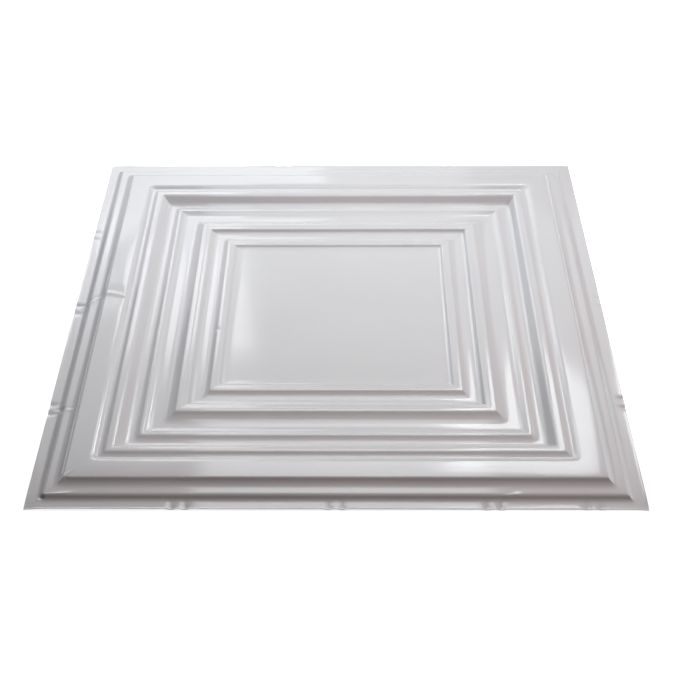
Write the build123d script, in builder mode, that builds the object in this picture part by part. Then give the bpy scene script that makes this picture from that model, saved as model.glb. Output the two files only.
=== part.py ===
"""PVC drop ceiling tile: one thermoformed sheet for a 2 ft by 2 ft lay-in grid, lying face up.

All sizes are in mm. The section of a side is measured inward from its outer edge and
upward from the level that the centre panel lies on.
"""
import os

from build123d import *

os.makedirs("parts", exist_ok=True)

# Whole tile: a nominal 24 in lay-in tile is cut to 23.75 in square.
tile_width = 603.0
sheet_thickness = 0.8

# Flat flange that rests on the grid's tees, set a little above the panel.
flange_width = 10.1
flange_lift = 1.1

# Outer riser, a soft swell from the flange to a narrow ledge.
riser_hollow_run = 5.3
riser_round_run = 4.5
riser_height = 4.7
ledge_width = 4.0

# Swell from the ledge up to the raised outer field.
rim_hollow_run = 9.9
rim_round_run = 2.7
rim_height = 5.6
field_width = 18.9
field_corner_radius = 10.0

# Inside the field: a roll, a dip to the quirk and the swell up to the bead.
roll_run = 5.6
roll_drop = 1.3
dip_run = 2.2
dip_drop = 1.6
quirk_width = 1.0
bead_hollow_run = 5.2
bead_round_run = 3.0
bead_height = 2.0
bead_run = 3.5
bead_drop = 0.3

# Down from the bead to the valley, which is level with the panel: rounded, straight, then hollow.
shoulder_run = 5.0
shoulder_drop = 2.4
slope_run = 3.3
slope_drop = 4.15
valley_hollow_run = 7.35
valley_width = 0.6
valley_corner_radius = 10.0

# Narrow strip between the valley and the flat band, which is level with the panel.
strip_hollow_run = 7.4
strip_round_run = 2.6
strip_height = 2.8
strip_width = 0.9
strip_fall_round_run = 1.6
strip_fall_hollow_run = 8.8
band_width = 5.9
band_corner_radius = 10.0

# Wide inner frame, with a small step inside its crest.
frame_hollow_run = 13.8
frame_round_run = 2.8
frame_height = 4.8
frame_width = 3.6
frame_step_run = 1.0
frame_step_drop = 0.3
frame_ledge_width = 3.2
frame_fall_round_run = 2.0
frame_fall_hollow_run = 7.2
frame_foot_width = 4.4

# Narrow inner frame round the centre panel, made the same way.
inner_corner_radius = 5.0
inner_hollow_run = 9.0
inner_round_run = 2.5
inner_height = 3.4
inner_width = 2.7
inner_step_run = 0.9
inner_step_drop = 0.25
inner_ledge_width = 2.0
inner_fall_round_run = 2.2
inner_fall_hollow_run = 6.2

# Heights of the decorated face.
half_width = tile_width / 2
panel_top = sheet_thickness
flange_top = panel_top + flange_lift
ledge_top = flange_top + riser_height
field_top = ledge_top + rim_height
roll_end_top = field_top - roll_drop
quirk_top = roll_end_top - dip_drop
bead_top = quirk_top + bead_height
bead_end_top = bead_top - bead_drop
shoulder_top = bead_end_top - shoulder_drop
slope_top = shoulder_top - slope_drop
strip_top = panel_top + strip_height
frame_top = panel_top + frame_height
frame_ledge_top = frame_top - frame_step_drop
inner_top = panel_top + inner_height
inner_ledge_top = inner_top - inner_step_drop

# Stations along the section, each an inset from the outer edge.
riser_foot = flange_width
riser_turn = riser_foot + riser_hollow_run
ledge_start = riser_turn + riser_round_run
rim_foot = ledge_start + ledge_width
rim_turn = rim_foot + rim_hollow_run
field_start = rim_turn + rim_round_run
field_end = field_start + field_width
roll_end = field_end + roll_run
quirk_start = roll_end + dip_run
quirk_end = quirk_start + quirk_width
bead_turn = quirk_end + bead_hollow_run
bead_start = bead_turn + bead_round_run
bead_end = bead_start + bead_run
shoulder_end = bead_end + shoulder_run
slope_end = shoulder_end + slope_run
valley_start = slope_end + valley_hollow_run
valley_end = valley_start + valley_width
strip_turn = valley_end + strip_hollow_run
strip_start = strip_turn + strip_round_run
strip_end = strip_start + strip_width
strip_fall_turn = strip_end + strip_fall_round_run
band_start = strip_fall_turn + strip_fall_hollow_run
band_end = band_start + band_width
frame_turn = band_end + frame_hollow_run
frame_start = frame_turn + frame_round_run
frame_end = frame_start + frame_width
frame_ledge_start = frame_end + frame_step_run
frame_ledge_end = frame_ledge_start + frame_ledge_width
frame_fall_turn = frame_ledge_end + frame_fall_round_run
frame_foot = frame_fall_turn + frame_fall_hollow_run
inner_foot = frame_foot + frame_foot_width
inner_turn = inner_foot + inner_hollow_run
inner_start = inner_turn + inner_round_run
inner_end = inner_start + inner_width
inner_ledge_start = inner_end + inner_step_run
inner_ledge_end = inner_ledge_start + inner_ledge_width
inner_fall_turn = inner_ledge_end + inner_fall_round_run
panel_start = inner_fall_turn + inner_fall_hollow_run


def run_to(start, start_height, end, end_height):
    """A straight stretch of the decorated face, level or sloping."""
    Line((start, start_height), (end, end_height))


def curve(level_end, level_height, steep_end, steep_height):
    """An arc that is level at one end and steep at the other."""
    TangentArc(
        (level_end, level_height),
        (steep_end, steep_height),
        tangent=(steep_end - level_end, 0),
    )


def swell(start, start_height, turn, end, end_height):
    """Two arcs that leave both ends level and share one slope where they turn."""
    share = (turn - start) / (end - start)
    turn_height = start_height + share * (end_height - start_height)
    curve(start, start_height, turn, turn_height)
    curve(end, end_height, turn, turn_height)


def across_side(place):
    """The plane across the front side at a place along it: inward, then up."""
    return Plane(origin=(place, -half_width, 0), x_dir=(0, 1, 0), z_dir=(1, 0, 0))


with BuildSketch(across_side(0)) as sheet_section:
    with BuildLine() as sheet_line:
        # Flange and outer riser.
        run_to(0, flange_top, riser_foot, flange_top)
        swell(riser_foot, flange_top, riser_turn, ledge_start, ledge_top)
        run_to(ledge_start, ledge_top, rim_foot, ledge_top)
        # Raised field, down to the quirk and up to the bead.
        swell(rim_foot, ledge_top, rim_turn, field_start, field_top)
        run_to(field_start, field_top, field_end, field_top)
        curve(field_end, field_top, roll_end, roll_end_top)
        run_to(roll_end, roll_end_top, quirk_start, quirk_top)
        run_to(quirk_start, quirk_top, quirk_end, quirk_top)
        swell(quirk_end, quirk_top, bead_turn, bead_start, bead_top)
        run_to(bead_start, bead_top, bead_end, bead_end_top)
        # Down to the valley.
        curve(bead_end, bead_end_top, shoulder_end, shoulder_top)
        run_to(shoulder_end, shoulder_top, slope_end, slope_top)
        curve(valley_start, panel_top, slope_end, slope_top)
        run_to(valley_start, panel_top, valley_end, panel_top)
        # Narrow strip and flat band.
        swell(valley_end, panel_top, strip_turn, strip_start, strip_top)
        run_to(strip_start, strip_top, strip_end, strip_top)
        swell(strip_end, strip_top, strip_fall_turn, band_start, panel_top)
        run_to(band_start, panel_top, band_end, panel_top)
        # Wide inner frame.
        swell(band_end, panel_top, frame_turn, frame_start, frame_top)
        run_to(frame_start, frame_top, frame_end, frame_top)
        run_to(frame_end, frame_top, frame_ledge_start, frame_ledge_top)
        run_to(frame_ledge_start, frame_ledge_top, frame_ledge_end, frame_ledge_top)
        swell(frame_ledge_end, frame_ledge_top, frame_fall_turn, frame_foot, panel_top)
        run_to(frame_foot, panel_top, inner_foot, panel_top)
        # Narrow inner frame.
        swell(inner_foot, panel_top, inner_turn, inner_start, inner_top)
        run_to(inner_start, inner_top, inner_end, inner_top)
        run_to(inner_end, inner_top, inner_ledge_start, inner_ledge_top)
        run_to(inner_ledge_start, inner_ledge_top, inner_ledge_end, inner_ledge_top)
        swell(inner_ledge_end, inner_ledge_top, inner_fall_turn, panel_start, panel_top)
        # The underside follows the face one sheet thickness below it.
        offset(amount=sheet_thickness, side=Side.RIGHT, kind=Kind.ARC)
    make_face()


def turned_corner(foot, radius, height):
    """The front right corner of a curve whose foot is rounded in plan, with the flat outside it."""
    centre = half_width - foot - radius
    with BuildPart() as corner:
        with BuildSketch(Plane.XY.offset(height - sheet_thickness)):
            with Locations((centre, -centre)):
                Rectangle(radius, radius, align=(Align.MIN, Align.MAX))
                Circle(radius, mode=Mode.SUBTRACT)
        extrude(amount=sheet_thickness)
        with BuildSketch(across_side(centre)):
            add(sheet_section.sketch_local)
            with Locations((foot, 0)):
                Rectangle(
                    radius, field_top, align=(Align.MIN, Align.MIN), mode=Mode.INTERSECT
                )
        revolve(axis=Axis((centre, -centre, 0), (0, 0, 1)), revolution_arc=90)
    return corner.part


# One side, cut to a mitre at both ends along the tile's diagonals.
with BuildPart() as side:
    with BuildSketch(across_side(0)):
        add(sheet_section.sketch_local)
    extrude(amount=half_width, both=True)
    for diagonal in ((1, 1, 0), (-1, 1, 0)):
        split(bisect_by=Plane(origin=(0, 0, 0), z_dir=diagonal), keep=Keep.BOTTOM)

with BuildPart() as ceiling_tile:
    # Four sides, mitred together.
    with PolarLocations(0, 4):
        add(side.part)

    # Flat centre panel.
    panel_width = tile_width - 2 * panel_start
    with BuildSketch() as panel:
        Rectangle(panel_width, panel_width)
    extrude(amount=sheet_thickness)

    # The mitres whose feet are rounded in plan give way to turned corners.
    for foot, radius, height in (
        (field_end, field_corner_radius, field_top),
        (valley_end, valley_corner_radius, panel_top),
        (band_end, band_corner_radius, panel_top),
        (inner_foot, inner_corner_radius, panel_top),
    ):
        corner = turned_corner(foot, radius, height)
        with PolarLocations(0, 4):
            with Locations((half_width - foot, foot - half_width)):
                Box(
                    radius,
                    radius,
                    field_top,
                    align=(Align.MAX, Align.MIN, Align.MIN),
                    mode=Mode.SUBTRACT,
                )
            add(corner)

ceiling_tile.part.label = "ceiling_tile"
export_step(ceiling_tile.part, "parts/ceiling_tile.step")
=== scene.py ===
"""PVC drop ceiling tile: one glossy thermoformed sheet, lying face up on a white floor."""

import math

import bpy
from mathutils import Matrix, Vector


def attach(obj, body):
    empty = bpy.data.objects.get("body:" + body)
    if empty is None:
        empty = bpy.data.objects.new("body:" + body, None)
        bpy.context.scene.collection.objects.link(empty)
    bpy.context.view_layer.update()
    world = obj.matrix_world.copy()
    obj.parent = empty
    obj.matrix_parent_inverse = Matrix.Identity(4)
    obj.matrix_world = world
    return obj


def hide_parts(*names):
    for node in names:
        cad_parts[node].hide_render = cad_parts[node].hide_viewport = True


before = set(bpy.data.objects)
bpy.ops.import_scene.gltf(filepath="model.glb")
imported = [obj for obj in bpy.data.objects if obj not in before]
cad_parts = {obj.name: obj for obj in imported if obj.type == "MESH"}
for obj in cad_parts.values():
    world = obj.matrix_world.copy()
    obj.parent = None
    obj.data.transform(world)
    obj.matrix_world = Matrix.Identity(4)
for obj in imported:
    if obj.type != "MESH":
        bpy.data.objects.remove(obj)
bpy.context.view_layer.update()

MM = 0.001

# Sizes in mm, as the solid has them: runs go inward from the rim, heights and drops go up and down.
TILE_WIDTH = 603.0
HALF = TILE_WIDTH / 2
SHEET_THICKNESS = 0.8
FACE_TOP = 12.15
# The sheet's underside stays this far above the floor.
FLOOR_GAP = 0.02

# Flange, with the slight upward curl of its rim.
FLANGE_WIDTH = 10.1
RIM_TOP = 2.2
CURL_RUN = 3.0
CURL_HEIGHT = 0.3
FLANGE_STRIPS = (1.6, 2.2)

# Outer riser, its ledge and the swell up to the raised field.
RISER_HOLLOW_RUN = 5.3
RISER_ROUND_RUN = 4.5
RISER_HEIGHT = 4.7
LEDGE_WIDTH = 4.0
RIM_HOLLOW_RUN = 9.9
RIM_ROUND_RUN = 2.7
RIM_HEIGHT = 5.6
FIELD_WIDTH = 18.9
FIELD_STRIPS = 3
FIELD_CORNER_RADIUS = 10.0

# Roll and dip to the quirk, then the bead.
ROLL_RUN = 5.6
ROLL_DROP = 1.3
DIP_RUN = 2.2
DIP_DROP = 1.6
QUIRK_WIDTH = 1.0
BEAD_HOLLOW_RUN = 5.2
BEAD_ROUND_RUN = 3.0
BEAD_HEIGHT = 2.0
BEAD_RUN = 3.5
BEAD_DROP = 0.3

# Down to the valley.
SHOULDER_RUN = 5.0
SHOULDER_DROP = 2.4
SLOPE_RUN = 3.3
SLOPE_DROP = 4.15
VALLEY_HOLLOW_RUN = 7.35
VALLEY_HOLLOW_DROP = 3.55
VALLEY_WIDTH = 0.6
VALLEY_CORNER_RADIUS = 10.0

# Narrow strip and the band that lies level with the panel.
STRIP_HOLLOW_RUN = 7.4
STRIP_ROUND_RUN = 2.6
STRIP_HEIGHT = 2.8
STRIP_WIDTH = 0.9
STRIP_FALL_ROUND_RUN = 1.6
STRIP_FALL_HOLLOW_RUN = 8.8
BAND_WIDTH = 5.9
BAND_CORNER_RADIUS = 10.0

# Wide inner frame, with a small step inside its crest.
FRAME_HOLLOW_RUN = 13.8
FRAME_ROUND_RUN = 2.8
FRAME_HEIGHT = 4.8
FRAME_WIDTH = 3.6
FRAME_STEP_RUN = 1.0
FRAME_STEP_DROP = 0.3
FRAME_LEDGE_WIDTH = 3.2
FRAME_FALL_ROUND_RUN = 2.0
FRAME_FALL_HOLLOW_RUN = 7.2
FRAME_FOOT_WIDTH = 4.4
INNER_CORNER_RADIUS = 5.0

# Narrow inner frame, made the same way.
INNER_HOLLOW_RUN = 9.0
INNER_ROUND_RUN = 2.5
INNER_HEIGHT = 3.4
INNER_WIDTH = 2.7
INNER_STEP_RUN = 0.9
INNER_STEP_DROP = 0.25
INNER_LEDGE_WIDTH = 2.0
INNER_FALL_ROUND_RUN = 2.2
INNER_FALL_HOLLOW_RUN = 6.2

ARRIS_EASING = 0.3

# The sheet was trimmed a little off centre: the moulding stands nearer the front and left.
OFF_CENTRE = (-0.8, -2.35)

# Cuts along each side of a ring, and how far they crowd to the mitres.
CUTS_ALONG = 47
SHORTEST_SIDE = 100
CROWDING = 0.6

# More cuts within a margin round the damage, in edges that are long enough for them.
DAMAGE_CUTS = 11
DAMAGE_MARGIN = 6.0
SHORTEST_EDGE_CUT = 3.0

# Two places closer than this count as one.
NEAR = 0.01

# The mould's nubs left pinched pairs of dips in the rim: side, place along it, depth.
RIM_PINCHES = (
    ("front", -152, 1.3), ("front", 0, 1.35), ("front", 153, 1.4), ("front", 249, 0.8),
    ("left", 144, 0.8), ("left", 1, 1.3), ("left", -164, 1.0),
    ("right", -154, 1.2), ("right", 20, 0.7), ("back", -75, 0.6), ("back", 145, 0.6),
)
PINCH_SPACING = 13.5
PINCH_HALF_WIDTH = 3.4
PINCH_REACH = 6.5
# How far in from the rim and along it a pinch gets more cuts, and where its dips end.
PINCH_CUT_INSET = 12
PINCH_CUT_REACH = 20
PINCH_END_INSET = 14
PINCH_END_REACH = 30

# Folds where the sheet was bent: from, to, half width, height of the fold.
FOLDS = (
    ((-300, -4), (-287, 8), 2.6, 0.9),
    ((-291, 7), (-281, 14), 2.4, 0.9),
    ((-275, 17), (-268, 20), 2.4, 0.7),
    ((-283, -285.5), (-262, -284.5), 1.4, 0.4),
    ((-270, -267), (-262, -261), 1.2, 0.4),
    ((-290, -166), (-274, -168), 1.8, 0.5),
    ((166, -286), (176, -285), 1.8, 0.35),
)
FOLD_FADE = 4.0
FOLD_STEEPNESS = 1.6
# Where a fold ends: so many of its half widths to each side, and so far past its ends.
FOLD_END_WIDTHS = 4
FOLD_END_REACH = 12

# Ridges left standing in a dent: from, to, half width, height.
RIDGES = (((-265, 22), (-247, 14.5), 2.6, 0.62),)
RIDGE_FADE = 3.0

# Pits, nicks and broad dents: place, half widths, depth.
PITS = (
    ((-286.5, -168), (2.2, 2.4), 1.7),
    ((-286.5, -288), (2.2, 2.2), 2.3),
    ((-134.4, -36), (1.4, 2.6), 0.6),
    ((-264, -270), (1.6, 1.6), 0.5),
    ((-256, 14), (15, 15), 0.85),
)

# Corners whose tips have sagged: place, depth.
SAGGED_TIPS = (
    ((-HALF, -HALF), 1.2),
    ((HALF, -HALF), 1.2),
    ((-HALF, HALF), 0.5),
    ((HALF, HALF), 0.5),
)
TIP_REACH = 8.0

# Buckling: its height, the level where it goes only downward, and its two waves.
# Each wave has a length, a sway, the length of that sway and a start.
BUCKLING = 0.22
BUCKLING_TOP = 12.0
WAVE_ALONG_X = (31, 1.3, 57, 0)
WAVE_ALONG_Y = (37, 1.1, 71, 2)

# Edges that turn by less than this, in degrees, are shaded smooth.
SMOOTH_ANGLE = 24


# Work in edit mode.

def pick(obj, elements, wanted):
    """In edit mode, select just the mesh elements that pass a test."""
    bpy.ops.mesh.select_all(action="DESELECT")
    bpy.ops.object.mode_set(mode="OBJECT")
    for element in getattr(obj.data, elements):
        element.select = wanted(element)
    bpy.ops.object.mode_set(mode="EDIT")


class Section:
    """Carries the selected square face inward along the section of the sheet."""

    def __init__(self):
        self.inset = 0.0
        self.arrises = []
        self.rounded_feet = []

    def step(self, run, rise):
        bpy.ops.mesh.inset(thickness=run * MM, depth=rise * MM, use_even_offset=True)
        self.inset += run

    def flat(self, run):
        self.step(run, 0)

    def curve(self, run, rise, steps, level):
        """An arc that is level at its start or at its end."""
        radius = (run * run + rise * rise) / (2 * abs(rise))
        swing = math.asin(run / radius)
        points = []
        for i in range(steps + 1):
            turn = swing * i / steps
            points.append((radius * math.sin(turn), math.copysign(radius * (1 - math.cos(turn)), rise)))
        if level == "end":
            points = [(run - x, rise - z) for x, z in reversed(points)]
        for (x0, z0), (x1, z1) in zip(points, points[1:]):
            self.step(x1 - x0, z1 - z0)

    def swell(self, first_run, second_run, rise, steps):
        """Two arcs that leave both ends level and share one slope where they turn."""
        share = first_run / (first_run + second_run)
        self.curve(first_run, rise * share, steps, level="start")
        self.curve(second_run, rise * (1 - share), steps, level="end")

    def arris(self):
        """Note that a sharp line of the moulding stands here."""
        self.arrises.append(self.inset)

    def round_corner(self, radius):
        """Note that the plan corner of this foot is turned on a radius."""
        self.rounded_feet.append((self.inset, radius))

    def crest(self, width, step_run, step_drop, ledge_width):
        """A crest with a small step down to a ledge inside it."""
        self.flat(width)
        self.arris()
        self.step(step_run, -step_drop)
        self.arris()
        self.flat(ledge_width)


# The sheet: one square face, carried inward from the rim to the panel.

bpy.ops.object.select_all(action="DESELECT")
bpy.ops.mesh.primitive_plane_add(size=TILE_WIDTH * MM, location=(0, 0, RIM_TOP * MM))
tile = bpy.context.active_object
tile.name = "tile_sheet"
bpy.ops.object.transform_apply(location=True)
bpy.ops.object.mode_set(mode="EDIT")
bpy.ops.mesh.select_mode(type="FACE")
bpy.ops.mesh.select_all(action="SELECT")

section = Section()
# Flat flange, whose rim has curled up a little.
section.curve(CURL_RUN, -CURL_HEIGHT, steps=3, level="end")
for strip in FLANGE_STRIPS:
    section.flat(strip)
section.flat(FLANGE_WIDTH - section.inset)
# Outer riser and its ledge.
section.swell(RISER_HOLLOW_RUN, RISER_ROUND_RUN, RISER_HEIGHT, steps=6)
section.flat(LEDGE_WIDTH)
# Swell up to the raised field.
section.swell(RIM_HOLLOW_RUN, RIM_ROUND_RUN, RIM_HEIGHT, steps=7)
for _ in range(FIELD_STRIPS):
    section.flat(FIELD_WIDTH / FIELD_STRIPS)
section.round_corner(FIELD_CORNER_RADIUS)
# Roll and dip to the quirk, then the swell up to the bead.
section.curve(ROLL_RUN, -ROLL_DROP, steps=4, level="start")
section.step(DIP_RUN, -DIP_DROP)
section.arris()
section.flat(QUIRK_WIDTH)
section.swell(BEAD_HOLLOW_RUN, BEAD_ROUND_RUN, BEAD_HEIGHT, steps=5)
section.step(BEAD_RUN, -BEAD_DROP)
# Down to the valley: rounded, straight, then hollow.
section.curve(SHOULDER_RUN, -SHOULDER_DROP, steps=6, level="start")
section.step(SLOPE_RUN, -SLOPE_DROP)
section.curve(VALLEY_HOLLOW_RUN, -VALLEY_HOLLOW_DROP, steps=6, level="end")
section.flat(VALLEY_WIDTH)
section.round_corner(VALLEY_CORNER_RADIUS)
# Narrow strip.
section.swell(STRIP_HOLLOW_RUN, STRIP_ROUND_RUN, STRIP_HEIGHT, steps=5)
section.flat(STRIP_WIDTH)
section.swell(STRIP_FALL_ROUND_RUN, STRIP_FALL_HOLLOW_RUN, -STRIP_HEIGHT, steps=5)
# Band level with the panel.
section.flat(BAND_WIDTH)
section.round_corner(BAND_CORNER_RADIUS)
# Wide inner frame.
section.swell(FRAME_HOLLOW_RUN, FRAME_ROUND_RUN, FRAME_HEIGHT, steps=6)
section.crest(FRAME_WIDTH, FRAME_STEP_RUN, FRAME_STEP_DROP, FRAME_LEDGE_WIDTH)
section.swell(FRAME_FALL_ROUND_RUN, FRAME_FALL_HOLLOW_RUN, FRAME_STEP_DROP - FRAME_HEIGHT, steps=6)
section.flat(FRAME_FOOT_WIDTH)
section.round_corner(INNER_CORNER_RADIUS)
# Narrow inner frame, and the panel that is left.
section.swell(INNER_HOLLOW_RUN, INNER_ROUND_RUN, INNER_HEIGHT, steps=5)
section.crest(INNER_WIDTH, INNER_STEP_RUN, INNER_STEP_DROP, INNER_LEDGE_WIDTH)
section.swell(INNER_FALL_ROUND_RUN, INNER_FALL_HOLLOW_RUN, INNER_STEP_DROP - INNER_HEIGHT, steps=5)

# The arrises are eased, as a sheet drawn over a mould can't hold a knife edge.
bpy.ops.mesh.select_mode(type="EDGE")


def ring_inset(vertex):
    """How far in from the tile's edge a vertex stands, in mm."""
    return HALF - max(abs(vertex.co.x), abs(vertex.co.y)) / MM


def on_arris(edge):
    insets = [ring_inset(tile.data.vertices[i]) for i in edge.vertices]
    return any(all(abs(inset - arris) < NEAR for inset in insets) for arris in section.arrises)


def runs_along(edge):
    """True for the edges that run along a side, not across it or down a mitre."""
    a, b = (tile.data.vertices[i].co for i in edge.vertices)
    return min(abs(a.x - b.x), abs(a.y - b.y)) < NEAR * MM and (a - b).length > SHORTEST_SIDE * MM


pick(tile, "edges", on_arris)
bpy.ops.mesh.bevel(
    offset=ARRIS_EASING * MM, offset_type="OFFSET", segments=2, profile=0.5, clamp_overlap=False
)
pick(tile, "edges", runs_along)
bpy.ops.mesh.subdivide(number_cuts=CUTS_ALONG)
bpy.ops.object.mode_set(mode="OBJECT")


# Plan corners: crowd the cuts towards the mitres, then turn the rounded feet.

def corner_radius(inset):
    """Plan radius of the corner of the ring at an inset, in mm."""
    for foot, radius in section.rounded_feet:
        if foot - NEAR < inset < foot + radius:
            return radius - (inset - foot)
    return 0.0


def place_in_plan(x, y):
    """Move a point of a mitred ring along its side, round the ring's corner and set it off centre."""
    across, along = max(abs(x), abs(y)), min(abs(x), abs(y))
    inset = HALF - across
    share = along / across if across else 0.0
    share = (1 - CROWDING) * share + CROWDING * math.sin(share * math.pi / 2)
    along = share * across
    radius = corner_radius(inset)
    centre = across - radius
    if radius > 0 and along > centre:
        turn = (along - centre) / radius * math.pi / 4
        across = centre + radius * math.cos(turn)
        along = centre + radius * math.sin(turn)
    if abs(x) >= abs(y):
        x, y = math.copysign(across, x), math.copysign(along, y)
    else:
        x, y = math.copysign(along, x), math.copysign(across, y)
    off_centre = min(1.0, inset / FLANGE_WIDTH)
    return x + OFF_CENTRE[0] * off_centre, y + OFF_CENTRE[1] * off_centre


for vertex in tile.data.vertices:
    x, y = place_in_plan(vertex.co.x / MM, vertex.co.y / MM)
    vertex.co.x, vertex.co.y = x * MM, y * MM


# Damage: a closer mesh where it lies, then the dips, folds and pits.

def by_side(x, y, side):
    """A point's place along a side and its inset from that side's rim."""
    return {
        "front": (x, HALF + y),
        "back": (x, HALF - y),
        "left": (y, HALF + x),
        "right": (y, HALF - x),
    }[side]


def along_fold(x, y, start, end):
    """A point's distance from a fold's line, and how far past its ends it lies."""
    length = math.dist(start, end)
    way = ((end[0] - start[0]) / length, (end[1] - start[1]) / length)
    run = (x - start[0]) * way[0] + (y - start[1]) * way[1]
    beside = (y - start[1]) * way[0] - (x - start[0]) * way[1]
    return beside, max(-run, run - length, 0)


def near_damage(x, y):
    """True where the mesh has to be closer than elsewhere."""
    for side, place, _ in RIM_PINCHES:
        along, inset = by_side(x, y, side)
        if inset < PINCH_CUT_INSET and abs(along - place) < PINCH_CUT_REACH:
            return True
    for start, end, width, _ in FOLDS + RIDGES:
        beside, past = along_fold(x, y, start, end)
        if abs(beside) < FOLD_END_WIDTHS * width and past < DAMAGE_MARGIN:
            return True
    return any(math.dist((x, y), place) < DAMAGE_MARGIN for place, _, _ in PITS)


def to_be_cut(edge):
    a, b = (tile.data.vertices[i].co / MM for i in edge.vertices)
    straight = min(abs(a.x - b.x), abs(a.y - b.y)) < NEAR
    points = [a.lerp(b, t) for t in (0, 0.25, 0.5, 0.75, 1)]
    long_enough = (a - b).length > SHORTEST_EDGE_CUT
    return straight and long_enough and any(near_damage(p.x, p.y) for p in points)


bpy.ops.object.mode_set(mode="EDIT")
bpy.ops.mesh.select_mode(type="EDGE")
pick(tile, "edges", to_be_cut)
bpy.ops.mesh.subdivide(number_cuts=DAMAGE_CUTS)
bpy.ops.object.mode_set(mode="OBJECT")


def bell(distance, width):
    return math.exp(-((distance / width) ** 2))


def pinched(x, y):
    """How far the pinched pairs of dips press the rim down at a point."""
    fall = 0.0
    for side, place, depth in RIM_PINCHES:
        along, inset = by_side(x, y, side)
        if inset < PINCH_END_INSET and abs(along - place) < PINCH_END_REACH:
            dips = (along - place + way * PINCH_SPACING / 2 for way in (-1, 1))
            fall += depth * sum(bell(dip, PINCH_HALF_WIDTH) for dip in dips) * bell(inset, PINCH_REACH)
    return fall


def folded(x, y):
    """How far the folds and ridges lift the sheet at a point."""
    rise = 0.0
    for start, end, width, height in FOLDS:
        beside, past = along_fold(x, y, start, end)
        if abs(beside) < FOLD_END_WIDTHS * width and past < FOLD_END_REACH:
            slope = FOLD_STEEPNESS * beside / width
            rise -= height * slope * bell(beside, width) * bell(past, FOLD_FADE)
    for start, end, width, height in RIDGES:
        beside, past = along_fold(x, y, start, end)
        rise += height * bell(beside, width) * bell(past, RIDGE_FADE)
    return rise


def pitted(x, y):
    """How far the pits and the sagged corner tips lower the sheet at a point."""
    fall = 0.0
    for place, widths, depth in PITS:
        fall += depth * bell(x - place[0], widths[0]) * bell(y - place[1], widths[1])
    for corner, sag in SAGGED_TIPS:
        fall += sag * bell(math.dist((x, y), corner), TIP_REACH)
    return fall


def swaying_wave(along, across, length, sway, sway_length, start):
    """A wave whose crests sway from side to side, from -1 to 1."""
    return math.sin(along / length + sway * math.sin(across / sway_length) + start)


def buckled(x, y):
    """Slow buckling of the thin sheet, from 0 to 1."""
    waves = swaying_wave(x, y, *WAVE_ALONG_X) + swaying_wave(y, x, *WAVE_ALONG_Y)
    return (waves + 2) / 4


for vertex in tile.data.vertices:
    x, y, z = (value / MM for value in vertex.co)
    # The low parts buckle upward and the high parts downward, so the sheet stays in its box.
    upward = 1 - 2 * min(1.0, z / BUCKLING_TOP)
    z += BUCKLING * buckled(x, y) * upward + folded(x, y) - pinched(x, y) - pitted(x, y)
    vertex.co.z = min(FACE_TOP, max(z, SHEET_THICKNESS + FLOOR_GAP)) * MM

# The sheet's thickness: the whole face is extruded downward.
bpy.ops.object.mode_set(mode="EDIT")
bpy.ops.mesh.select_mode(type="FACE")
bpy.ops.mesh.select_all(action="SELECT")
bpy.ops.mesh.extrude_region_move(TRANSFORM_OT_translate={"value": (0, 0, -SHEET_THICKNESS * MM)})
bpy.ops.mesh.select_all(action="SELECT")
bpy.ops.mesh.normals_make_consistent(inside=False)
bpy.ops.object.mode_set(mode="OBJECT")
bpy.ops.object.shade_smooth_by_angle(angle=math.radians(SMOOTH_ANGLE))


# Gloss white PVC.

pvc = bpy.data.materials.new("gloss_white_pvc")
pvc.use_nodes = True
nodes, links = pvc.node_tree.nodes, pvc.node_tree.links
shader = nodes["Principled BSDF"]
shader.inputs["IOR"].default_value = 1.54
sheet_place = nodes.new("ShaderNodeTexCoord").outputs["Object"]


def noise(scale, detail, roughness, source=sheet_place):
    node = nodes.new("ShaderNodeTexNoise")
    node.inputs["Scale"].default_value = scale
    node.inputs["Detail"].default_value = detail
    node.inputs["Roughness"].default_value = roughness
    links.new(source, node.inputs["Vector"])
    return node.outputs["Fac"]


def remap(value, low, high, to_low, to_high):
    node = nodes.new("ShaderNodeMapRange")
    for name, number in (("From Min", low), ("From Max", high), ("To Min", to_low), ("To Max", to_high)):
        node.inputs[name].default_value = number
    links.new(value, node.inputs["Value"])
    return node.outputs["Result"]


def combine(operation, first, second):
    node = nodes.new("ShaderNodeMath")
    node.operation = operation
    links.new(first, node.inputs[0])
    links.new(second, node.inputs[1])
    return node.outputs[0]


def stretched(scale, turn):
    """Object coordinates stretched along one direction, for scratches."""
    node = nodes.new("ShaderNodeMapping")
    node.inputs["Scale"].default_value = scale
    node.inputs["Rotation"].default_value = (0, 0, math.radians(turn))
    links.new(sheet_place, node.inputs["Vector"])
    return node.outputs["Vector"]


def bump(height, strength, distance):
    node = nodes.new("ShaderNodeBump")
    node.inputs["Strength"].default_value = strength
    node.inputs["Distance"].default_value = distance
    links.new(height, node.inputs["Height"])
    return node


# White with a very faint cloudiness, and a little dust grey in the scuffs.
cloud = noise(7.0, 3.0, 0.5)
long_scratches = noise(1.0, 2.0, 0.6, stretched((30, 900, 30), 24))
cross_scratches = noise(1.0, 2.0, 0.6, stretched((900, 26, 30), 9))
patches = remap(noise(9.0, 2.0, 0.5), 0.5, 0.66, 0.0, 1.0)
scratches = [remap(value, 0.7, 0.78, 0.0, 1.0) for value in (long_scratches, cross_scratches)]
scuffs = combine("MULTIPLY", combine("MAXIMUM", *scratches), patches)

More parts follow.
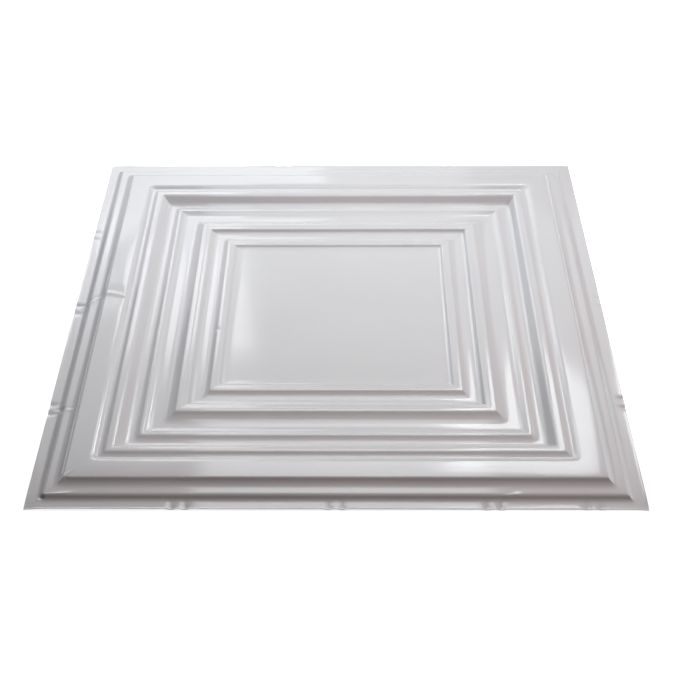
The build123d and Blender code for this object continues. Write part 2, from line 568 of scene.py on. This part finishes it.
tint = nodes.new("ShaderNodeMix")
tint.data_type = "RGBA"
tint.inputs["A"].default_value = (0.785, 0.787, 0.79, 1)
tint.inputs["B"].default_value = (0.81, 0.81, 0.808, 1)
links.new(remap(cloud, 0.35, 0.65, 0.0, 1.0), tint.inputs["Factor"])
dusty = nodes.new("ShaderNodeMix")
dusty.data_type = "RGBA"
dusty.inputs["B"].default_value = (0.66, 0.655, 0.65, 1)
links.new(tint.outputs["Result"], dusty.inputs["A"])
links.new(remap(scuffs, 0.0, 1.0, 0.0, 0.35), dusty.inputs["Factor"])
links.new(dusty.outputs["Result"], shader.inputs["Base Color"])

# Gloss that is duller in clouds and along the scuffs.
cloudy_gloss = remap(noise(22.0, 4.0, 0.6), 0.3, 0.7, 0.08, 0.13)
links.new(combine("ADD", cloudy_gloss, remap(scuffs, 0.0, 1.0, 0.0, 0.2)), shader.inputs["Roughness"])

# Orange peel of the drawn sheet, and slower unevenness from the mould.
peel = bump(noise(420.0, 2.0, 0.5), 0.15, 0.00004)
unevenness = bump(noise(34.0, 2.0, 0.45), 0.5, 0.0001)
links.new(peel.outputs["Normal"], unevenness.inputs["Normal"])
links.new(unevenness.outputs["Normal"], shader.inputs["Normal"])
tile.data.materials.clear()
tile.data.materials.append(pvc)

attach(tile, "root")
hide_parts("ceiling_tile")


# White floor. Its own white is seen by the camera and in reflections only.

FLOOR_SIZE = 60.0
FLOOR_LEVEL = -0.0002
FLOOR_WHITE = 0.8
bpy.ops.mesh.primitive_plane_add(size=FLOOR_SIZE, location=(0, 0, FLOOR_LEVEL))
floor = bpy.context.active_object
floor.name = "floor"
bpy.ops.object.transform_apply(location=True)
paper = bpy.data.materials.new("white_floor")
paper.use_nodes = True
floor.data.materials.append(paper)

nodes, links = paper.node_tree.nodes, paper.node_tree.links
floor_shader = nodes["Principled BSDF"]
floor_shader.inputs["Base Color"].default_value = (0.9, 0.9, 0.9, 1)
floor_shader.inputs["Roughness"].default_value = 1.0
floor_shader.inputs["Emission Color"].default_value = (1, 1, 1, 1)
light_path = nodes.new("ShaderNodeLightPath").outputs
seen = combine("ADD", light_path["Is Camera Ray"], light_path["Is Glossy Ray"])
seen = combine("ADD", seen, light_path["Is Transmission Ray"])
links.new(remap(seen, 0.0, 1.0, 0.0, FLOOR_WHITE), floor_shader.inputs["Emission Strength"])

world = bpy.data.worlds.new("studio")
bpy.context.scene.world = world
world.use_nodes = True
background = world.node_tree.nodes["Background"]
background.inputs["Color"].default_value = (1, 1, 1, 1)
background.inputs["Strength"].default_value = 0.01


# Lamps: a wide soft window at the back with one small bright pane, and weaker light all round.

def softbox(name, place, target, width, height, watts, colour):
    data = bpy.data.lights.new(name, "AREA")
    data.shape = "RECTANGLE"
    data.size, data.size_y = width, height
    data.energy = watts
    data.color = colour
    lamp = bpy.data.objects.new(name, data)
    bpy.context.scene.collection.objects.link(lamp)
    lamp.location = place
    lamp.rotation_euler = (Vector(target) - Vector(place)).to_track_quat("-Z", "Y").to_euler()


TILE_CENTRE = (0, 0, 0)
softbox("back_windows", (0.0, 1.49, 1.34), TILE_CENTRE,
        width=2.2, height=0.7, watts=6.1, colour=(0.87, 0.96, 0.99))
softbox("bright_pane", (0.47, 1.22, 1.42), TILE_CENTRE,
        width=0.4, height=0.34, watts=2.5, colour=(0.92, 0.97, 1.0))
softbox("back_left_window", (-0.47, 1.77, 0.82), TILE_CENTRE,
        width=0.8, height=0.6, watts=4.1, colour=(0.94, 0.97, 1.0))
softbox("back_low", (0.12, 1.83, 0.82), TILE_CENTRE,
        width=0.42, height=0.6, watts=0.65, colour=(0.93, 0.97, 1.0))
softbox("left_window", (-0.87, 1.5, 1.0), TILE_CENTRE,
        width=0.5, height=0.5, watts=1.25, colour=(0.82, 0.84, 1.0))
softbox("small_left_pane", (-0.41, 1.52, 1.23), TILE_CENTRE,
        width=0.3, height=0.3, watts=1.14, colour=(0.94, 0.95, 1.0))
softbox("left_low", (-0.98, 1.69, 0.42), TILE_CENTRE,
        width=0.7, height=0.7, watts=1.7, colour=(0.97, 0.93, 1.0))
softbox("right_low", (0.98, 1.69, 0.42), TILE_CENTRE,
        width=0.7, height=0.7, watts=0.6, colour=(0.7, 0.95, 1.0))
softbox("right_side_low", (1.69, 0.98, 0.42), TILE_CENTRE,
        width=0.7, height=0.7, watts=2.3, colour=(0.55, 0.97, 1.0))
softbox("right_warm", (1.53, 0.0, 1.29), TILE_CENTRE,
        width=0.9, height=0.9, watts=12.0, colour=(1.0, 0.78, 0.78))
softbox("over_back", (0.0, 0.3, 0.7), (0.0, 0.3, 0),
        width=0.5, height=0.5, watts=2.65, colour=(0.88, 0.94, 0.98))
softbox("over_middle", (0.0, 0.0, 0.7), TILE_CENTRE,
        width=0.5, height=0.5, watts=0.3, colour=(1.0, 0.7, 0.5))


# Camera, fitted to the tile's four corners in the photograph.

camera_data = bpy.data.cameras.new("camera")
camera_data.lens = 67.42
camera_data.sensor_width = 36
camera = bpy.data.objects.new("camera", camera_data)
bpy.context.scene.collection.objects.link(camera)
camera.location = (0.0151, -1.1181, 0.9183)
camera.rotation_euler = (math.radians(49.431), math.radians(0.405), math.radians(0.472))
bpy.context.scene.camera = camera
bpy.context.scene.view_settings.view_transform = "Standard"
